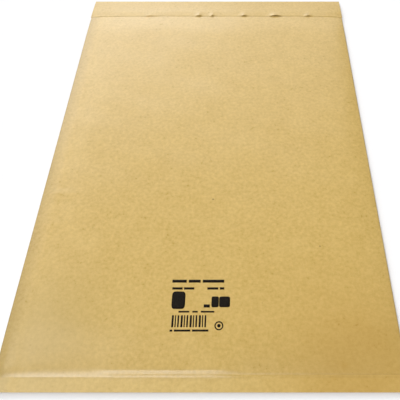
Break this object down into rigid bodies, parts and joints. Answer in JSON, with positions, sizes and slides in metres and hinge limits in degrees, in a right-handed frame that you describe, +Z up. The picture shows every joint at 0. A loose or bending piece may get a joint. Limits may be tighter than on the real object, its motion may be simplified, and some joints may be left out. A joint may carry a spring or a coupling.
{
  "type": "padded envelope",
  "caption": "Flat kraft paper envelope padded with bubble film, its self-seal flap folded down over the mouth.",
  "frame": {"origin": "below the middle of the envelope, on the surface that it lies on", "axes": "+Y along the length, from the glued bottom band to the flap's fold; +X to the right as the flap side is read; +Z up, out of the flap side"},
  "size_m": [0.3, 0.47, 0.008],
  "materials": {
    "kraft": "brown kraft paper, lightly calendered",
    "bubble_film": "clear polyethylene film",
    "hot_melt": "pale amber tacky adhesive",
    "release_paper": "white siliconed paper"
  },
  "bodies": {
    "root": {"kraft_outer": "kraft", "bubble_liner": "bubble_film", "closure_adhesive": "hot_melt", "release_liner": "release_paper"}
  },
  "joints": []
}
